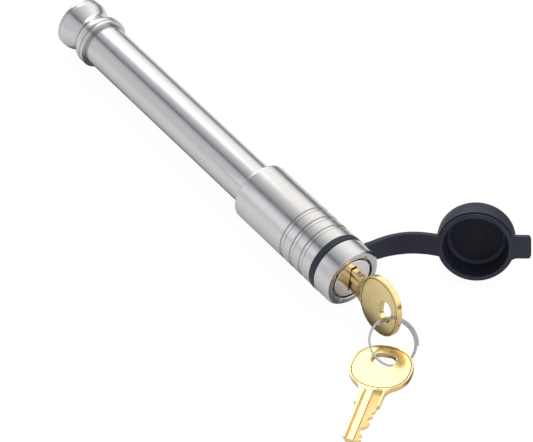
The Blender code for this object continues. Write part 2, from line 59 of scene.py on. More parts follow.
# turned pieces
KNOB_FACE_R = 8.75
KNOB_R = 9.55
WAIST_R = 7.95
WAIST_X = (2.9, 13.1)
LIP_LINE_X = (1.4, 1.5, 1.75)        # the fine line behind the knob's lip
COLLAR_LINE_X = (13.7, 13.85, 14.2)
COLLAR_R = 9.52
SEAT_X = 15.4
PIN_R = 7.9375
SHOULDER_X = 114.0
NOSE_R = 4.8
NOSE_END = 126.2
BALL_X = 123.2
GROOVE_R = 3.5
HEAD_R = 10.95
HEAD_X = 108.0
FACE_X = 160.0
CAVITY_R = 8.15
GRIP_GROOVES = (134.6, 139.8, 144.9)
GRIP_HALF = 1.0
GRIP_DEPTH = 0.35
TETHER_X = 151.4
TETHER_HALF = 1.4
TETHER_FLOOR_R = 10.15
TETHER_RING_HALF = 1.2
STAKE_ANGLES = (52, 142, 236, 320)     # degrees round the face
STAKE_REACH = 0.9
STAKE_DEPTH = 0.55
RIM_R = 10.2            # where the flat face ends and its bevel starts
FACE_PLATE_R = 7.4
FACE_PLATE_X = (158.7, 159.8)
KEYWAY = (2.5, 9.9)
KEY_TILT = radians(-8.5)

# keys, along u from the blade's tip and across by v
KEY_THICK = 2.0
KEY_REACH = 17.3
BOW_U = 33.0
BOW_HALF = (9.8, 10.6)
BOW_SQUARE = 2.25
HOLE_U = 36.3
HOLE_HALF = (2.8, 4.0)
BLADE_HALF = 3.6
NECK_HALF = 4.4
BORDER_INSET = 0.75
BORDER_BEAD = 0.2
KEY_EDGE = 0.2
NECK_FLARE_U = 20.6         # where the neck starts to widen into the bow
NECK_CONTROL_U = 23.3
BOW_SWEEP = radians(146)
SHOULDER_U = 16.2
KEY_CUTS = ((2.4, 1.75), (5.2, 2.6), (7.9, 0.5), (10.3, 1.4), (13.0, 0.75))
SPARE_TIP = (210.12, -38.79, -10.7)
SPARE_HEADING = radians(125.21)
SPARE_PITCH = radians(-1.3)
SPARE_ROLL = radians(-4.14)

# split ring
RING_CENTRE = (185.93, -3.02, -7.08)
RING_NORMAL = (radians(-7.14), radians(57.04))
RING_R = 8.12
WIRE_HALF = (0.24, 0.22)    # radial and axial half sizes of the wire
COIL_TURNS = 2.38
COIL_PITCH = 0.5
COIL_START = radians(106)
COIL_GROWTH = 0.42          # each turn's radius over the one before

# rubber
STRAP_HALF = 3.85
TAB_HALF = 4.15
STRAP_TURN = radians(-12)
STRAP_THICK = 2.1
STRAP_START_R = 10.9
STRAP_LEAVE = (0.1, 14.3, -1.7)      # from the strap's start to its first control point
STRAP_ARRIVE = (-6.4, -5.4, 0.4)     # from its end to its last control point
RUBBER_X = -1.25                     # the strap's and tab's middle behind the cap's rim
CAP_CENTRE = (175.75, 39.85, 2.88)
CAP_NORMAL = (radians(-42.25), radians(16.56))
CAP_R = (11.1, 13.1)
CAP_ROLL = radians(3.3)
CAP_DEPTH = 7.6
CAP_BACK = 9.8
CAP_LEDGE = (10.05, 6.7)
TAB_REACH = 18.6

# camera and floor
AIM = (112.1, -0.3, -11.0)
CAMERA_DISTANCE = 1402.2
CAMERA_FROM = (radians(-36.29), radians(45.25))     # azimuth and elevation from the aim
CAMERA_ROLL = radians(-0.62)
LENS = 276.4
FLOOR_SLOPE = 0.0127        # the lock lies on its knob and on its wider head
FLOOR_Z = -9.58             # below the knob's face
FLOOR_HALF = 6.0            # metres
CARD_CENTRE = (50, -107, 62)
CARD_TARGET = (130, 0, 0)
CARD_SIZE = (60, 44)
CARD_STRENGTH = 1.15


# ---- shape tools ---------------------------------------------------------------------------


def spot(x, y, z):
    return Matrix.Translation(Vector((x, y, z)) * MM)


def direction(azimuth, elevation):
    return Vector((cos(azimuth) * cos(elevation), sin(azimuth) * cos(elevation), sin(elevation)))


def frame_of(origin, x_axis, z_hint=(0, 0, 1)):
    """A matrix at origin (mm) with its X along x_axis and its Z as near z_hint as can be."""
    x = Vector(x_axis).normalized()
    y = Vector(z_hint).cross(x).normalized()
    turn = Matrix((x, y, x.cross(y))).transposed().to_4x4()
    return spot(*origin) @ turn


def arc(centre, radius, start, end, steps):
    """Points of an arc in the profile plane; angles in degrees, 0 along +x."""
    angles = [radians(start + (end - start) * k / steps) for k in range(steps + 1)]
    return [(centre[0] + radius * cos(a), centre[1] + radius * sin(a)) for a in angles]


def eased(corners, steps=4, closed=True):
    """A profile from (a, b) or (a, b, ease) corners, each eased one rounded over that length."""
    points = []
    count = len(corners)
    for k, corner in enumerate(corners):
        here = Vector(corner[:2])
        ease = corner[2] if len(corner) > 2 else 0
        if not ease or (not closed and k in (0, count - 1)):
            points.append(here)
            continue
        before = Vector(corners[k - 1][:2])
        after = Vector(corners[(k + 1) % count][:2])
        start = here + (before - here).normalized() * ease
        end = here + (after - here).normalized() * ease
        for s in range(steps + 1):
            t = s / steps
            points.append(start * (1 - t) ** 2 + here * (2 * t * (1 - t)) + end * t ** 2)
    return [tuple(p) for p in points]


def piece_from(name, bm, look, sharp=32):
    """The finished bmesh, in metres, as an object with outward faces and clean flat normals."""
    bmesh.ops.remove_doubles(bm, verts=bm.verts, dist=1e-7)
    bmesh.ops.recalc_face_normals(bm, faces=bm.faces)
    mesh = bpy.data.meshes.new(name)
    bm.to_mesh(mesh)
    bm.free()
    return piece_of(name, mesh, look, sharp)


def piece_of(name, mesh, look=None, sharp=32):
    """The mesh as an object; without a look it keeps the materials it has."""
    mesh.shade_smooth()
    mesh.set_sharp_from_angle(angle=radians(sharp))
    if look:
        mesh.materials.clear()
        mesh.materials.append(look)
    thing = bpy.data.objects.new(name, mesh)
    bpy.context.scene.collection.objects.link(thing)
    weigh = thing.modifiers.new("flat_normals", "WEIGHTED_NORMAL")
    weigh.keep_sharp = True
    weigh.weight = 90
    return thing


def turned_bmesh(profile, segments):
    """A closed (x, radius) profile in millimetres, turned about the X axis."""
    bm = bmesh.new()
    corners = [bm.verts.new((x * MM, 0.0, r * MM)) for x, r in profile]
    open_end = any(r == 0 for _, r in profile)
    pairs = list(zip(corners, corners[1:] + corners[:1]))
    if open_end:
        pairs = [p for p in pairs if p[0].co.z > 0 or p[1].co.z > 0]
    edges = [bm.edges.new(pair) for pair in pairs]
    bmesh.ops.spin(
        bm, geom=corners + edges, cent=(0, 0, 0), axis=(1, 0, 0),
        angle=2 * pi, steps=segments, use_merge=True,
    )
    return bm


def turned(name, profile, look, segments=192, matrix=None):
    bm = turned_bmesh(profile, segments)
    if matrix:
        bmesh.ops.transform(bm, matrix=matrix, verts=bm.verts)
    return piece_from(name, bm, look)


def lofted_bmesh(frames, sections):
    """A closed solid through (a, b) sections in mm, one for each (point, a_axis, b_axis)."""
    bm = bmesh.new()
    rings = []
    for (point, a_axis, b_axis), section in zip(frames, sections):
        rings.append([bm.verts.new((point + a_axis * a + b_axis * b) * MM) for a, b in section])
    count = len(sections[0])
    for near, far in zip(rings, rings[1:]):
        for k in range(count):
            bm.faces.new((near[k], near[k - 1], far[k - 1], far[k]))
    bm.faces.new(rings[0])
    bm.faces.new(rings[-1])
    return bm


def evaluated_mesh(thing):
    """The object's mesh with its modifiers, in world space; the object itself goes."""
    bpy.context.view_layer.update()
    graph = bpy.context.evaluated_depsgraph_get()
    mesh = bpy.data.meshes.new_from_object(thing.evaluated_get(graph))
    mesh.transform(thing.matrix_world)
    bpy.data.objects.remove(thing, do_unlink=True)
    return mesh


def plain_object(name, mesh):
    thing = bpy.data.objects.new(name, mesh)
    bpy.context.scene.collection.objects.link(thing)
    return thing


def block_bmesh(size, matrix, bevel):
    bm = bmesh.new()
    bmesh.ops.create_cube(bm, size=1.0)
    bmesh.ops.scale(bm, verts=bm.verts, vec=[s * MM for s in size])
    bmesh.ops.bevel(
        bm, geom=bm.edges[:], offset=bevel * MM, segments=2, profile=0.5, affect="EDGES"
    )
    bmesh.ops.transform(bm, matrix=matrix, verts=bm.verts)
    return bm


def mesh_from(name, bm):
    bmesh.ops.recalc_face_normals(bm, faces=bm.faces)
    mesh = bpy.data.meshes.new(name)
    bm.to_mesh(mesh)
    bm.free()
    return mesh


def cut(name, mesh, tools):
    """The mesh less each of the tool meshes, all in metres."""
    target = plain_object(name, mesh)
    helpers = []
    for k, tool in enumerate(tools):
        helper = plain_object(f"{name}_tool_{k}", tool)
        change = target.modifiers.new("cut", "BOOLEAN")
        change.operation = "DIFFERENCE"
        change.solver = "EXACT"
        change.object = helper
        helpers.append(helper)
    result = evaluated_mesh(target)
    for helper in helpers:
        bpy.data.objects.remove(helper, do_unlink=True)
    return result


def dent(mesh, centre, reach, depth, along):
    """Presses a small smooth dimple into the mesh, around centre and along a direction (mm)."""
    centre = Vector(centre) * MM
    push = Vector(along) * depth * MM
    for v in mesh.vertices:
        share = (v.co - centre).length / (reach * MM)
        if share < 1:
            v.co += push * (1 - share * share) ** 2


# ---- materials -----------------------------------------------------------------------------


def node(tree, kind, wires=None, **settings):
    """A shader node with its settings; wires gives each input a value or another node's socket."""
    made = tree.nodes.new("ShaderNode" + kind)
    for name, value in settings.items():
        setattr(made, name, value)
    for name, value in (wires or {}).items():
        if isinstance(value, bpy.types.NodeSocket):
            tree.links.new(value, made.inputs[name])
        else:
            made.inputs[name].default_value = value
    return made


def surface(name, roughness, metallic=0.0):
    """A new node material: its tree and its Principled shader."""
    made = bpy.data.materials.new(name)
    made.use_nodes = True
    shader = made.node_tree.nodes["Principled BSDF"]
    shader.inputs["Roughness"].default_value = roughness
    shader.inputs["Metallic"].default_value = metallic
    return made, made.node_tree, shader


def noise(tree, scale, detail=3.0, stretch=(1, 1, 1)):
    """Noise in the piece's own coordinates, drawn out by stretch; the scale is per metre."""
    place = node(tree, "TexCoord").outputs["Object"]
    size = [scale * s for s in stretch]
    spread = node(tree, "Mapping", {"Vector": place, "Scale": size})
    return node(
        tree, "TexNoise", {"Vector": spread.outputs["Vector"], "Scale": 1.0, "Detail": detail}
    ).outputs["Fac"]


def between(tree, share, low, high):
    """A number from low to high by a noise's share."""
    span = {"From Min": 0.3, "From Max": 0.7, "To Min": low, "To Max": high}
    return node(tree, "MapRange", {"Value": share, **span}).outputs["Result"]


def mixed(tree, share, first, second):
    blend = node(tree, "Mix", data_type="RGBA")
    for socket, value in ((0, share), (6, first), (7, second)):
        if isinstance(value, bpy.types.NodeSocket):
            tree.links.new(value, blend.inputs[socket])
        else:
            blend.inputs[socket].default_value = value
    return blend.outputs[2]


def bumped(tree, shader, heights, distance):
    """Adds the heights, one after another, to the shader's normal."""
    normal = None
    for height, strength in heights:
        wires = {"Height": height, "Strength": strength, "Distance": distance}
        if normal:
            wires["Normal"] = normal
        normal = node(tree, "Bump", wires).outputs["Normal"]
    tree.links.new(normal, shader.inputs["Normal"])


def tone(colour, factor):
    return (*[c * factor for c in colour], 1.0)


def turned_steel(name, colour, roughness):
    """Lathe-turned metal: fine rings about X, and highlights drawn out along it."""
    streak, stretch = 0.03, (1, 0.02, 0.02)
    made, tree, shader = surface(name, roughness, 1.0)
    fine = noise(tree, 3200, 2.0, stretch)
    broad = noise(tree, 900, 2.0, stretch)
    patch = noise(tree, 90, 3.0)
    dull, bright = tone(colour, 1 - streak), tone(colour, 1 + streak)
    shade = mixed(tree, between(tree, fine, 0, 1), dull, bright)
    shade = mixed(tree, between(tree, broad, 0.0, 0.5), shade, tone(colour, 1 - 1.4 * streak))
    shade = mixed(tree, between(tree, patch, 0.0, 0.3), shade, tone(colour, 1.03))
    tree.links.new(shade, shader.inputs["Base Color"])
    gloss = between(tree, broad, roughness * 0.85, roughness * 1.15)
    tree.links.new(gloss, shader.inputs["Roughness"])
    bumped(tree, shader, ((fine, 0.05), (broad, 0.02)), 0.00005)
    shader.inputs["Anisotropic"].default_value = 0.9
    tangent = node(tree, "Tangent", direction_type="RADIAL", axis="X")
    tree.links.new(tangent.outputs["Tangent"], shader.inputs["Tangent"])
    return made


def polished_steel(name, colour, roughness):
    """Bright plate with faint hairlines and a little haze."""
    made, tree, shader = surface(name, roughness, 1.0)
    hair = noise(tree, 1500, 3.0, (1, 0.05, 1))
    haze = noise(tree, 250, 2.0)
    shade = mixed(tree, between(tree, haze, 0, 1), tone(colour, 0.97), tone(colour, 1.03))
    tree.links.new(shade, shader.inputs["Base Color"])
    gloss = between(tree, haze, roughness * 0.8, roughness * 1.3)
    tree.links.new(gloss, shader.inputs["Roughness"])
    bumped(tree, shader, ((hair, 0.05),), 0.00002)
    return made


def key_brass(name, colour, dark, roughness):
    """Stamped and tumbled brass: soft brushing, tiny pits and a darker tone along the brushing."""
    made, tree, shader = surface(name, roughness, 1.0)
    brush = noise(tree, 1400, 3.0, (0.15, 1, 1))
    cloud = noise(tree, 160, 3.0)
    pits = noise(tree, 2600, 1.0)
    shade = mixed(tree, between(tree, cloud, 0, 1), tone(colour, 0.96), tone(colour, 1.04))
    shade = mixed(tree, between(tree, brush, 0.0, 0.25), shade, (*dark, 1.0))
    tree.links.new(shade, shader.inputs["Base Color"])
    gloss = between(tree, cloud, roughness * 0.85, roughness * 1.2)
    tree.links.new(gloss, shader.inputs["Roughness"])
    bumped(tree, shader, ((brush, 0.06), (pits, 0.04)), 0.00004)
    return made


def moulded_rubber(name, colour, roughness):
    """Matt moulded rubber: a fine tooth, faint flow marks and a trace of bloom."""
    made, tree, shader = surface(name, roughness)
    tooth = noise(tree, 2800, 4.0)
    flow = noise(tree, 220, 3.0, (1, 1, 0.3))
    shade = mixed(tree, between(tree, flow, 0, 1), tone(colour, 0.85), tone(colour, 1.2))
    tree.links.new(shade, shader.inputs["Base Color"])
    gloss = between(tree, tooth, roughness * 0.9, roughness * 1.1)
    tree.links.new(gloss, shader.inputs["Roughness"])
    bumped(tree, shader, ((tooth, 0.25), (flow, 0.1)), 0.0001)
    shader.inputs["Specular IOR Level"].default_value = 0.35
    return made


def cast_zinc(name, colour):
    """Die-cast zinc: dull, cool and slightly mottled."""
    made, tree, shader = surface(name, 0.42, 1.0)
    mottle = noise(tree, 700, 5.0)
    shade = mixed(tree, between(tree, mottle, 0, 1), tone(colour, 0.85), tone(colour, 1.1))
    tree.links.new(shade, shader.inputs["Base Color"])
    tree.links.new(between(tree, mottle, 0.36, 0.5), shader.inputs["Roughness"])
    bumped(tree, shader, ((mottle, 0.2),), 0.0001)
    return made


STEEL = (0.60, 0.594, 0.586)
STAINLESS = turned_steel("turned_stainless", STEEL, 0.17)
FACE_STEEL = polished_steel("polished_plate", (0.85, 0.80, 0.80), 0.09)
DARK_STEEL = turned_steel("hardened_steel", (0.40, 0.40, 0.41), 0.33)
WIRE_STEEL = polished_steel("nickel_wire", (0.5, 0.5, 0.51), 0.05)
ZINC = cast_zinc("cast_zinc", (0.50, 0.50, 0.51))
BRASS = turned_steel("turned_brass", (0.76, 0.60, 0.30), 0.25)
KEY_BRASS = key_brass("key_brass", (0.86, 0.675, 0.34), (0.62, 0.46, 0.18), 0.18)
MILLED_BRASS = key_brass("milled_brass", (0.74, 0.54, 0.25), (0.50, 0.33, 0.11), 0.42)
LINE_BRASS = key_brass("engraved_brass", (0.30, 0.20, 0.08), (0.16, 0.10, 0.04), 0.45)
KEY_LOOKS = (KEY_BRASS, MILLED_BRASS, LINE_BRASS)
RUBBER = moulded_rubber("black_rubber", (0.018, 0.021, 0.040), 0.55)
# darker, rougher rubber for the cap's inner wall and floor: painted shade in the cup's hollow
CUP_SHADE_RUBBER = moulded_rubber("painted_shade_matt_rubber", (0.007, 0.009, 0.017), 0.75)


# ---- pin and lock head ---------------------------------------------------------------------


def waist():
    """The knob's hollow waist from its rim to the collar, as a cosine dip."""
    start, end = WAIST_X
    steps = 28
    points = []
    for k in range(steps + 1):
        share = k / steps
        dip = 0.5 - 0.5 * cos(2 * pi * share)
        points.append((start + (end - start) * share, KNOB_R - (KNOB_R - WAIST_R) * dip))
    return points


def hitch_pin():
    lip, line = LIP_LINE_X, COLLAR_LINE_X
    profile = eased([
        (0.35, 0.0), (0.0, 0.75), (0.0, KNOB_FACE_R, 0.3), (0.8, KNOB_R - 0.05, 0.12),
        (lip[0], KNOB_R),
        (lip[1], KNOB_R - 0.2), (lip[2], KNOB_R),
    ], closed=False)
    profile += waist()
    profile += eased([
        (line[0], COLLAR_R), (line[1], COLLAR_R - 0.45), (line[2], COLLAR_R, 0.06),
        (SEAT_X, COLLAR_R, 0.3),
        (SEAT_X, PIN_R + 0.15, 0.1), (SEAT_X - 0.3, PIN_R + 0.05), (SEAT_X, PIN_R, 0.1),
        (SHOULDER_X, PIN_R, 0.8), (SHOULDER_X, NOSE_R, 0), (BALL_X - 2.6, NOSE_R, 0.2),
        (BALL_X - 1.3, GROOVE_R, 0.5), (BALL_X + 1.3, GROOVE_R, 0.5), (BALL_X + 2.6, NOSE_R, 0.2),
        (NOSE_END, NOSE_R, 0.35), (NOSE_END, 0.0, 0),
    ], closed=False)
    pin = turned("turned_pin", profile, STAINLESS)
    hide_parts("hitch_pin")
    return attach(pin, "pin")


def head_profile():
    outside = [(HEAD_X, CAVITY_R + 0.1, 0.15), (HEAD_X, HEAD_R, 0.95)]
    for x in GRIP_GROOVES:
        floor = HEAD_R - GRIP_DEPTH
        outside += [(x - GRIP_HALF, HEAD_R, 0.08), (x - GRIP_HALF + 0.1, floor - 0.2)]
        outside += [(x - GRIP_HALF + 0.3, floor), (x + GRIP_HALF - 0.55, floor)]
        outside += [(x + GRIP_HALF - 0.45, floor - 0.3), (x + GRIP_HALF, HEAD_R, 0.08)]
    near, far = TETHER_X - TETHER_HALF, TETHER_X + TETHER_HALF
    outside += [(near, HEAD_R, 0.15), (near, TETHER_FLOOR_R), (far, TETHER_FLOOR_R)]
    outside += [(far, HEAD_R, 0.15), (FACE_X - 0.8, HEAD_R, 0.15), (FACE_X, RIM_R, 0.12)]
    rim = [(FACE_X, r) for r in (9.6, 9.2, 8.9, 8.6)]
    inside = [(FACE_X, CAVITY_R + 0.2), (FACE_X - 0.2, CAVITY_R), (HEAD_X + 0.3, CAVITY_R)]
    return eased(outside + rim + inside, steps=5)


def lock_body():
    head = turned("turned_head", head_profile(), STAINLESS, 256)
    for angle in STAKE_ANGLES:
        a = radians(angle)
        mark = (FACE_X, (CAVITY_R + 0.3) * cos(a), (CAVITY_R + 0.3) * sin(a))
        dent(head.data, mark, STAKE_REACH, STAKE_DEPTH, (-1, 0, 0))
    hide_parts("lock_body")
    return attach(head, "lock_head")


def plug_face():
    near, far = FACE_PLATE_X
    profile = eased([
        (near, 0), (near, FACE_PLATE_R), (far, FACE_PLATE_R, 0.22), (far, 0),
    ])
    plate = mesh_from("plate", turned_bmesh(profile, 192))
    lean = Matrix.Rotation(KEY_TILT, 4, "X")
    slot = mesh_from("slot", block_bmesh((6, *KEYWAY), lean @ spot(far - 0.5, 0, 0), 0.25))
    disc = piece_of("polished_face", cut("plate", plate, [slot]), FACE_STEEL)
    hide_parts("plug_face")
    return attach(disc, "plug")


# ---- keys ----------------------------------------------------------------------------------


def bow_point(angle, inset=0.0):
    """The bow's rounded outline, a superellipse about the bow's centre."""
    power = 2 / BOW_SQUARE
    u = (BOW_HALF[0] - inset) * abs(cos(angle)) ** power * (1 if cos(angle) > 0 else -1)
    v = (BOW_HALF[1] - inset) * abs(sin(angle)) ** power * (1 if sin(angle) > 0 else -1)
    return BOW_U + u, v


def curve_between(start, control, end, steps=6):
    a, b, c = Vector(start), Vector(control), Vector(end)
    spots = [k / steps for k in range(1, steps)]
    return [tuple(a * (1 - t) ** 2 + b * (2 * t * (1 - t)) + c * t * t) for t in spots]


def cut_edge():
    """The blade's cut edge from the tip to its shoulder: flat floors with 45 degree slopes."""
    points = []
    steps = 170
    for k in range(1, steps):
        u = 1.0 + (SHOULDER_U - 1.3) * k / steps
        depth = max(d - max(0.0, abs(u - at) - 0.45) for at, d in KEY_CUTS)
        v = -BLADE_HALF + max(depth, 0.0)
        while len(points) > 1 and straight(points[-2], points[-1], (u, v)):
            points.pop()
        points.append((u, v))
    return points


def straight(first, second, third):
    a, b = Vector(second) - Vector(first), Vector(third) - Vector(second)
    return abs(a.x * b.y - a.y * b.x) < 1e-6


def key_outline():
    """From the tip round the bow and back along the cut edge."""
    shoulder = (NECK_FLARE_U, NECK_HALF)
    outline = [(0.0, -0.2), (0.0, 1.9), (0.4, 2.7), (1.3, BLADE_HALF)]
    outline += [(SHOULDER_U - 0.2, BLADE_HALF), (SHOULDER_U, BLADE_HALF + 0.2)]
    outline += [(SHOULDER_U, NECK_HALF - 0.2), (SHOULDER_U + 0.2, NECK_HALF), shoulder]
    outline += curve_between(shoulder, (NECK_CONTROL_U, NECK_HALF), bow_point(BOW_SWEEP))
    steps = 72
    outline += [bow_point(BOW_SWEEP * (1 - 2 * k / steps)) for k in range(steps + 1)]
    shoulder = (NECK_FLARE_U, -NECK_HALF)
    outline += curve_between(bow_point(-BOW_SWEEP), (NECK_CONTROL_U, -NECK_HALF), shoulder)
    outline += [shoulder, (SHOULDER_U + 0.2, -NECK_HALF), (SHOULDER_U, -NECK_HALF + 0.2)]
    return outline + [(SHOULDER_U, -BLADE_HALF)] + cut_edge()[::-1]


def key_hole():
    """The rounded slot in the bow that the split ring passes through."""
    half_u, half_v = HOLE_HALF
    offset = half_v - half_u
    points = []
    for side in (1, -1):
        for k in range(21):
            a = pi * k / 20 if side > 0 else pi + pi * k / 20
            points.append((HOLE_U + half_u * cos(a), side * offset + half_u * sin(a)))
    return points


def flat_mesh(name, outlines, thickness, edge):
    """Flat outlines given a thickness and a small rounded edge, as a mesh in metres."""
    curve = bpy.data.curves.new(name, "CURVE")
    curve.dimensions = "2D"
    curve.fill_mode = "BOTH"
    curve.extrude = (thickness / 2 - edge) * MM
    curve.bevel_depth = edge * MM
    curve.bevel_resolution = 2
    curve.offset = -edge * MM
    for outline in outlines:
        line = curve.splines.new("POLY")
        line.points.add(len(outline) - 1)
        for point, (u, v) in zip(line.points, outline):
            point.co = (u * MM, v * MM, 0, 1)
        line.use_cyclic_u = True
    return evaluated_mesh(plain_object(name, curve))


def worked(mesh, index):
    """Gives a cutting tool the looks of a key, so that what it cuts takes one of them."""
    for look in KEY_LOOKS:
        mesh.materials.append(look)
    for face in mesh.polygons:
        face.material_index = index
    return mesh


def border_tool(face):
    """A thin round bead along the bow's border, for cutting its engraved line."""
    curve = bpy.data.curves.new("border", "CURVE")
    curve.dimensions = "3D"
    curve.bevel_depth = BORDER_BEAD * MM
    curve.bevel_resolution = 2
    line = curve.splines.new("POLY")
    steps = 96
    line.points.add(steps - 1)
    for k in range(steps):
        u, v = bow_point(2 * pi * k / steps, BORDER_INSET)
        line.points[k].co = (u * MM, v * MM, face * (KEY_THICK / 2 + 0.03) * MM, 1)
    line.use_cyclic_u = True
    return worked(evaluated_mesh(plain_object("border", curve)), 2)


def groove_tool(u_end, run_out, v, half, depth, face, rounded=False):
    """A milled groove from beyond the tip, rising to the face over its run-out before u_end."""
    frames = []
    sections = []
    axes = Vector((0, 1, 0)), Vector((0, 0, face))
    for k in range(17):
        share = 1.01 * k / 16
        u = u_end - run_out * (1 - share) if k else -4
        rise = depth * share * share
        if k == 1:
            frames.append((Vector((u_end - run_out, v, 0)), *axes))
            sections.append(groove_section(half, depth, rounded))
        frames.append((Vector((u, v, 0)), *axes))
        sections.append(groove_section(half, depth - rise, rounded))
    return worked(mesh_from("groove", lofted_bmesh(frames, sections)), 1)


def groove_section(half, depth, rounded):
    floor = KEY_THICK / 2 - depth
    top = KEY_THICK / 2 + 0.8
    if rounded:
        bowl = arc((0, floor + half), half, 180, 360, 10)
        return bowl + [(half, top), (-half, top)]
    return [(half, floor), (half, top), (-half, top), (-half, floor)]


def detailed_key(name, matrix):
    blank = worked(flat_mesh(name, [key_outline(), key_hole()], KEY_THICK, KEY_EDGE), 0)
    tools = [
        border_tool(1), border_tool(-1),
        groove_tool(22.6, 4.0, 2.2, 0.5, 0.62, 1, True),
        groove_tool(22.8, 2.4, -2.05, 1.75, 0.55, 1),
        groove_tool(22.6, 3.0, -0.5, 1.1, 0.6, -1),
        groove_tool(22.6, 4.0, 3.0, 0.5, 0.5, -1, True),
    ]
    mesh = cut(name, blank, tools)
    mesh.transform(matrix)
    return piece_of(name, mesh)


def keys():
    tip = Matrix.Rotation(KEY_TILT, 4, "X") @ spot(FACE_PLATE_X[1] - KEY_REACH, 0, 0)
    first = detailed_key("brass_key", tip @ Matrix.Rotation(radians(90), 4, "X"))
    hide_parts("key_in_lock")
    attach(first, "key")
    turn = Matrix.Rotation(SPARE_HEADING, 4, "Z") @ Matrix.Rotation(SPARE_PITCH, 4, "Y")
    lying = spot(*SPARE_TIP) @ turn @ Matrix.Rotation(SPARE_ROLL, 4, "X")
    second = detailed_key("brass_spare_key", lying)
    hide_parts("spare_key")
    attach(second, "spare")


def split_ring():
    """A coil of wire, a little over two turns, each lying beside the one before."""
    turn = frame_of((0, 0, 0), direction(*RING_NORMAL)).to_3x3()
    axis = turn @ Vector((1, 0, 0))
    steps = 300
    frames = []
    for k in range(steps + 1):
        turns = COIL_TURNS * k / steps
        level = turns - COIL_TURNS / 2
        angle = COIL_START - 2 * pi * turns
        out = turn @ Vector((0, cos(angle), sin(angle)))
        reach = out * (RING_R + COIL_GROWTH * level)
        frames.append((Vector(RING_CENTRE) + reach + axis * COIL_PITCH * level, out, axis))
    radial, axial = WIRE_HALF
    section = eased([
        (radial, axial, 0.2), (-radial, axial, 0.2), (-radial, -axial, 0.2), (radial, -axial, 0.2),
    ])
    bm = lofted_bmesh(frames, [section] * len(frames))
    ring = piece_from("coil_ring", bm, WIRE_STEEL, 50)
    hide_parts("split_ring")
    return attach(ring, "ring")


# ---- rubber --------------------------------------------------------------------------------


def cap_frame():
    """Origin at the rim's centre, X out of the open end, Z up the rim."""
    return frame_of(CAP_CENTRE, direction(*CAP_NORMAL)) @ Matrix.Rotation(CAP_ROLL, 4, "X")


def tether_ring():
    half = TETHER_RING_HALF
    low, high = TETHER_FLOOR_R + 0.1, HEAD_R + 0.12
    profile = eased([
        (TETHER_X - half, low), (TETHER_X - half, high, 0.3), (TETHER_X + half, high, 0.3),
        (TETHER_X + half, low),
    ])
    ring = turned("rubber_tether_ring", profile, RUBBER)
    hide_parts("tether_ring")
    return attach(ring, "tether")


def strap_line():
    """The strap's centre line as points (mm), with the way its width runs at each."""
    rim = cap_frame()
    root = Matrix.Rotation(STRAP_TURN, 3, "X")
    start = root @ Vector((TETHER_X, STRAP_START_R, 0))
    end = rim @ (Vector((RUBBER_X, -CAP_R[1] + 1.4, 0)) * MM) / MM
    first = start + Vector(STRAP_LEAVE)
    last = end + Vector(STRAP_ARRIVE)
    width = root @ Vector((0, 0, 1))
    rise = rim.to_3x3() @ Vector((0, 0, 1))
    steps = 60
    spots = []
    for k in range(steps + 1):
        t = k / steps
        s = 1 - t
        point = start * s ** 3 + first * 3 * s * s * t + last * 3 * s * t * t + end * t ** 3
        along = (first - start) * s * s + (last - first) * 2 * s * t + (end - last) * t * t
        up = width.lerp(rise, t).normalized()
        side = up.cross(along).normalized()
        spots.append((point, side, along.normalized().cross(side) * -1))
    return spots


def flared(share):
    """The strap's half width along its run: a little wider where it joins the ring."""
    near = max(0.0, 1 - share / 0.12)
    return STRAP_HALF + 0.4 * near * near


def strap():
    """Three lengths of one strap, split midway between its hinges so that each spans one of them.
    """
    line = strap_line()
    count = len(line) - 1
    hinges = {j["name"]: Vector(j["pos_m"]) for j in frame["joints"] if "pos_m" in j}
    bends = [hinges[n] for n in ("strap_root_bend", "strap_middle_bend", "cap_bend")]

    def nearest(point):
        return min(range(count + 1), key=lambda k: (line[k][0] * MM - point).length)

    seams = [0, nearest(bends[0].lerp(bends[1], 0.5)), nearest(bends[1].lerp(bends[2], 0.5)), count]
    for k in range(3):
        begin, stop = seams[k], seams[k + 1]
        frames = []
        sections = []
        for s in range(begin, stop + 1):
            frames.append(line[s])
            sections.append(strap_section(flared(s / count)))
        bm = lofted_bmesh(frames, sections)
        part = piece_from(f"strap_length_{k + 1}", bm, RUBBER, 40)
        if k:
            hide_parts(f"strap_{k}")
        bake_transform(part)


def strap_section(half):
    """A flat section, rounded at its corners; a across the thickness, b along the width."""
    thick = STRAP_THICK / 2
    around = ((1, 1), (-1, 1), (-1, -1), (1, -1))
    return eased([(a * thick, b * half, 0.45) for a, b in around], steps=4)


def cap_profile():
    inner, outer = CAP_R
    ledge_r, ledge_x = CAP_LEDGE
    return eased([
        (0, inner, 0.3), (0, outer - 0.4, 0.3), (-0.5, outer - 0.35, 0.1),
        (-0.6, outer - 0.8, 0.05), (-1.1, outer - 0.8, 0.05), (-1.0, outer, 0.15),
        (-4.5, outer + 0.35, 1.5), (-8.5, outer, 1.2), (-CAP_BACK, outer - 2.1, 1.2),
        (-CAP_BACK, 0), (-CAP_DEPTH, 0),
        (-CAP_DEPTH, ledge_r - 1.25, 0.35), (-ledge_x - 0.15, ledge_r - 0.1, 0.3),
        (-ledge_x + 0.35, ledge_r, 0.3), (-3.4, inner - 0.5, 0.6), (-0.6, inner, 0.5),
    ], steps=6)


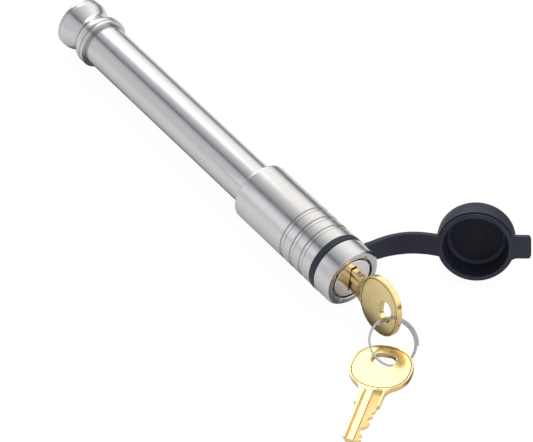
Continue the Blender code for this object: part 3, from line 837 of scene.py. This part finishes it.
def dust_cap():
    place = cap_frame()
    cap = turned("rubber_dust_cap", cap_profile(), RUBBER, 160, place)
    cap.data.materials.append(CUP_SHADE_RUBBER)
    back = place.inverted()
    # the cup's inner wall and floor take the darker rubber as painted shade in the hollow
    for face in cap.data.polygons:
        at = back @ face.center / MM
        reach = sqrt(at.y ** 2 + at.z ** 2)
        shaded_wall = -CAP_LEDGE[1] + 0.3 < at.x < -0.5 and reach < CAP_R[0] + 0.05
        if shaded_wall or (-CAP_DEPTH - 0.1 < at.x < -CAP_DEPTH + 0.25 and reach < CAP_LEDGE[0] - 1.1):
            face.material_index = 1
    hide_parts("dust_cap")
    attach(cap, "cap")
    start = CAP_R[0] + 0.9
    line = []
    sections = []
    steps = 18
    for k in range(steps + 1):
        share = k / steps
        y = start + (TAB_REACH - start) * share
        half = TAB_HALF + 0.8 * max(0.0, 1 - share / 0.3) ** 2
        tail = max(0.0, (share - 0.84) / 0.16)
        half -= 1.3 * (1 - sqrt(max(0.0, 1 - tail * tail)))
        at = place @ (Vector((RUBBER_X, y, 0)) * MM) / MM
        turn = place.to_3x3()
        line.append((at, turn @ Vector((1, 0, 0)), turn @ Vector((0, 0, 1))))
        sections.append(strap_section(half))
    tab = piece_from("cap_pull_tab", lofted_bmesh(line, sections), RUBBER, 40)
    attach(tab, "cap")


# ---- carried-over nodes --------------------------------------------------------------------


def inner_pieces():
    """The mechanism keeps its CAD shapes and gets its finishes."""
    finish = {
        "cam_ring": ZINC, "cylinder_shell": ZINC, "plug": BRASS, "pin_seal": RUBBER,
        "shell_pin": DARK_STEEL, "ball_cage": DARK_STEEL, "locking_ball_1": DARK_STEEL,
        "locking_ball_2": DARK_STEEL, "plug_clip": DARK_STEEL, "tail_driver": DARK_STEEL,
    }
    for name, thing in frame["nodes"].items():
        look = finish.get(name)
        if name.startswith("wafer_spring"):
            look = DARK_STEEL
        elif name.startswith("wafer"):
            look = BRASS
        if look:
            thing.data.materials.clear()
            thing.data.materials.append(look)


# ---- stage ---------------------------------------------------------------------------------


STUDIO = (
    # angle about X from +Y, brightness and tint of the surroundings seen that way
    (0, 0.08, 0), (8, 0.58, 0), (18, 1.18, 0), (30, 1.46, 0), (45, 1.50, 1), (58, 1.28, 1),
    (72, 1.04, 0), (84, 0.92, 0), (94, 0.70, -1), (106, 0.56, -1), (113, 0.42, -1),
    (116.5, 0.04, -1), (122.5, 0.04, -1), (126, 0.78, -1), (135, 0.76, -1), (150, 0.84, -1),
    (168, 0.80, 0), (180, 0.84, 0),
)
TINTS = {1: (1.0, 0.975, 0.962), 0: (1.0, 1.0, 1.0), -1: (0.97, 1.0, 1.07)}
BRIGHTEST = 2.0
SPOT_TOWARDS = tuple(direction(radians(162.2), radians(32.8)))     # the sky the spare key mirrors
SPOT_EDGE = (radians(16.5), radians(19))
SPOT_BRIGHT = 1.85
# painted light for the floor's reflections: a painted shadow along under the pin and a fade far
# behind the object
FLOOR_PAINTED_LIGHT = (     # y across the floor in mm, and how bright its reflections are there
    (-100, 0.91), (-44, 0.95), (-22, 0.91), (-14, 0.88), (-9.4, 0.75), (-7.7, 0.36), (-6, 0.18),
    (-4, 0.22), (2, 0.60), (18, 0.86), (34, 0.96), (52, 1.0), (68, 0.75), (90, 0.16),
)


def ramp(tree, share, stops):
    """A colour ramp's output; stops are (position, colour)."""
    made = node(tree, "ValToRGB", {"Fac": share})
    elements = made.color_ramp.elements
    elements.remove(elements[0])
    elements[0].position, elements[0].color = stops[0]
    for position, colour in stops[1:]:
        elements.new(position).color = colour
    return made.outputs["Color"]


def studio_world():
    world = bpy.data.worlds.new("studio")
    bpy.context.scene.world = world
    world.use_nodes = True
    tree = world.node_tree
    tree.nodes.clear()
    towards = node(tree, "TexCoord").outputs["Generated"]
    split = node(tree, "SeparateXYZ", {"Vector": towards})
    angle = node(tree, "Math", {0: split.outputs["Z"], 1: split.outputs["Y"]}, operation="ARCTAN2")
    share = node(tree, "Math", {0: angle.outputs[0], 1: pi}, operation="DIVIDE")
    sky = ramp(tree, share.outputs[0], [
        (degrees / 180, tone(TINTS[warmth], bright / BRIGHTEST))
        for degrees, bright, warmth in STUDIO
    ])
    lit = node(tree, "Background", {"Color": sky, "Strength": BRIGHTEST})
    facing = node(tree, "VectorMath", {0: towards, 1: SPOT_TOWARDS}, operation="DOT_PRODUCT")
    near = node(tree, "MapRange", {
        "Value": facing.outputs["Value"], "To Min": 0.0, "To Max": SPOT_BRIGHT,
        "From Min": cos(SPOT_EDGE[1]), "From Max": cos(SPOT_EDGE[0]),
    }, interpolation_type="SMOOTHSTEP")
    white = (1, 1, 1, 1)
    spot_glow = node(tree, "Background", {"Color": white, "Strength": near.outputs["Result"]})
    lit = node(tree, "AddShader", {0: lit.outputs[0], 1: spot_glow.outputs[0]})
    seen = node(tree, "Background", {"Color": white, "Strength": 1.0})
    camera = node(tree, "LightPath").outputs["Is Camera Ray"]
    chosen = node(tree, "MixShader", {0: camera, 1: lit.outputs[0], 2: seen.outputs[0]})
    node(tree, "OutputWorld", {"Surface": chosen.outputs[0]})


def floor_material():
    """White where the camera sees it; in reflections it carries a painted shadow along under the
    pin and fades out far behind the object.
    """
    made = bpy.data.materials.new("studio_floor")
    made.use_nodes = True
    tree = made.node_tree
    tree.nodes.clear()
    place = node(tree, "NewGeometry")
    y = node(tree, "SeparateXYZ", {"Vector": place.outputs["Position"]}).outputs["Y"]
    across = node(tree, "MapRange", {"Value": y, "From Min": -0.1, "From Max": 0.1})
    # the floor's colour and glow follow the painted ramp by y, a painted shadow under the pin
    # included
    light = ramp(tree, across.outputs["Result"], [
        ((at + 100) / 200, (bright, bright, bright, 1)) for at, bright in FLOOR_PAINTED_LIGHT
    ])
    shade = mixed(tree, light, (0, 0, 0, 1), (0.80, 0.80, 0.80, 1))
    glow_shade = mixed(tree, light, (0, 0, 0, 1), (0.25, 0.25, 0.25, 1))
    matt = node(tree, "BsdfDiffuse", {"Color": shade})
    glow = node(tree, "Emission", {"Color": glow_shade})
    lit = node(tree, "AddShader", {0: matt.outputs[0], 1: glow.outputs[0]})
    white = node(tree, "Emission", {"Color": (0.95, 0.95, 0.95, 1)})
    soft = node(tree, "BsdfDiffuse", {"Color": (0.08, 0.08, 0.08, 1)})
    seen = node(tree, "AddShader", {0: white.outputs[0], 1: soft.outputs[0]})
    camera = node(tree, "LightPath").outputs["Is Camera Ray"]
    chosen = node(tree, "MixShader", {0: camera, 1: lit.outputs[0], 2: seen.outputs[0]})
    clear = node(tree, "BsdfTransparent")
    both = node(tree, "MixShader", {
        0: place.outputs["Backfacing"], 1: chosen.outputs[0], 2: clear.outputs[0],
    })
    node(tree, "OutputMaterial", {"Surface": both.outputs[0]})
    return made


def floor():
    bm = bmesh.new()
    bmesh.ops.create_grid(bm, x_segments=1, y_segments=1, size=FLOOR_HALF)
    mesh = mesh_from("floor", bm)
    ground = plain_object("floor", mesh)
    if mesh.polygons[0].normal.z < 0:
        mesh.flip_normals()
    mesh.materials.append(floor_material())
    ground.matrix_world = spot(0, 0, FLOOR_Z) @ Matrix.Rotation(FLOOR_SLOPE, 4, "Y")


def card(name, centre, target, size, strength, tint):
    """A glowing card that lights the object and shows in its reflections, but isn't seen itself."""
    bm = bmesh.new()
    bmesh.ops.create_grid(bm, x_segments=1, y_segments=1, size=0.5)
    bmesh.ops.scale(bm, verts=bm.verts, vec=(size[0] * MM, size[1] * MM, 1))
    sheet = plain_object(name, mesh_from(name, bm))
    aim = (Vector(target) - Vector(centre)) * MM
    turn = aim.to_track_quat("Z", "X").to_matrix().to_4x4()
    sheet.matrix_world = spot(*centre) @ turn
    glow = bpy.data.materials.new(name)
    glow.use_nodes = True
    glow.node_tree.nodes.clear()
    light = node(glow.node_tree, "Emission", {"Color": tone(tint, 1.0), "Strength": strength})
    node(glow.node_tree, "OutputMaterial", {"Surface": light.outputs[0]})
    sheet.data.materials.append(glow)
    sheet.visible_camera = False


def camera():
    made = bpy.data.cameras.new("camera")
    made.lens = LENS
    made.sensor_width = 36.0
    made.clip_start = 0.05
    made.clip_end = 20.0
    back = direction(*CAMERA_FROM)
    right = Vector((0, 0, 1)).cross(back).normalized()
    up = back.cross(right)
    rolled = right * cos(CAMERA_ROLL) + up * sin(CAMERA_ROLL)
    turn = Matrix((rolled, back.cross(rolled), back)).transposed().to_4x4()
    thing = bpy.data.objects.new("camera", made)
    bpy.context.scene.collection.objects.link(thing)
    thing.matrix_world = Matrix.Translation((Vector(AIM) + back * CAMERA_DISTANCE) * MM) @ turn
    bpy.context.scene.camera = thing


def stage():
    studio_world()
    floor()
    card("side_card", CARD_CENTRE, CARD_TARGET, CARD_SIZE, CARD_STRENGTH, TINTS[-1])
    camera()
    view = bpy.context.scene.view_settings
    view.view_transform = "Standard"
    view.look = "None"


hitch_pin()
lock_body()
plug_face()
keys()
split_ring()
tether_ring()
strap()
dust_cap()
inner_pieces()
stage()
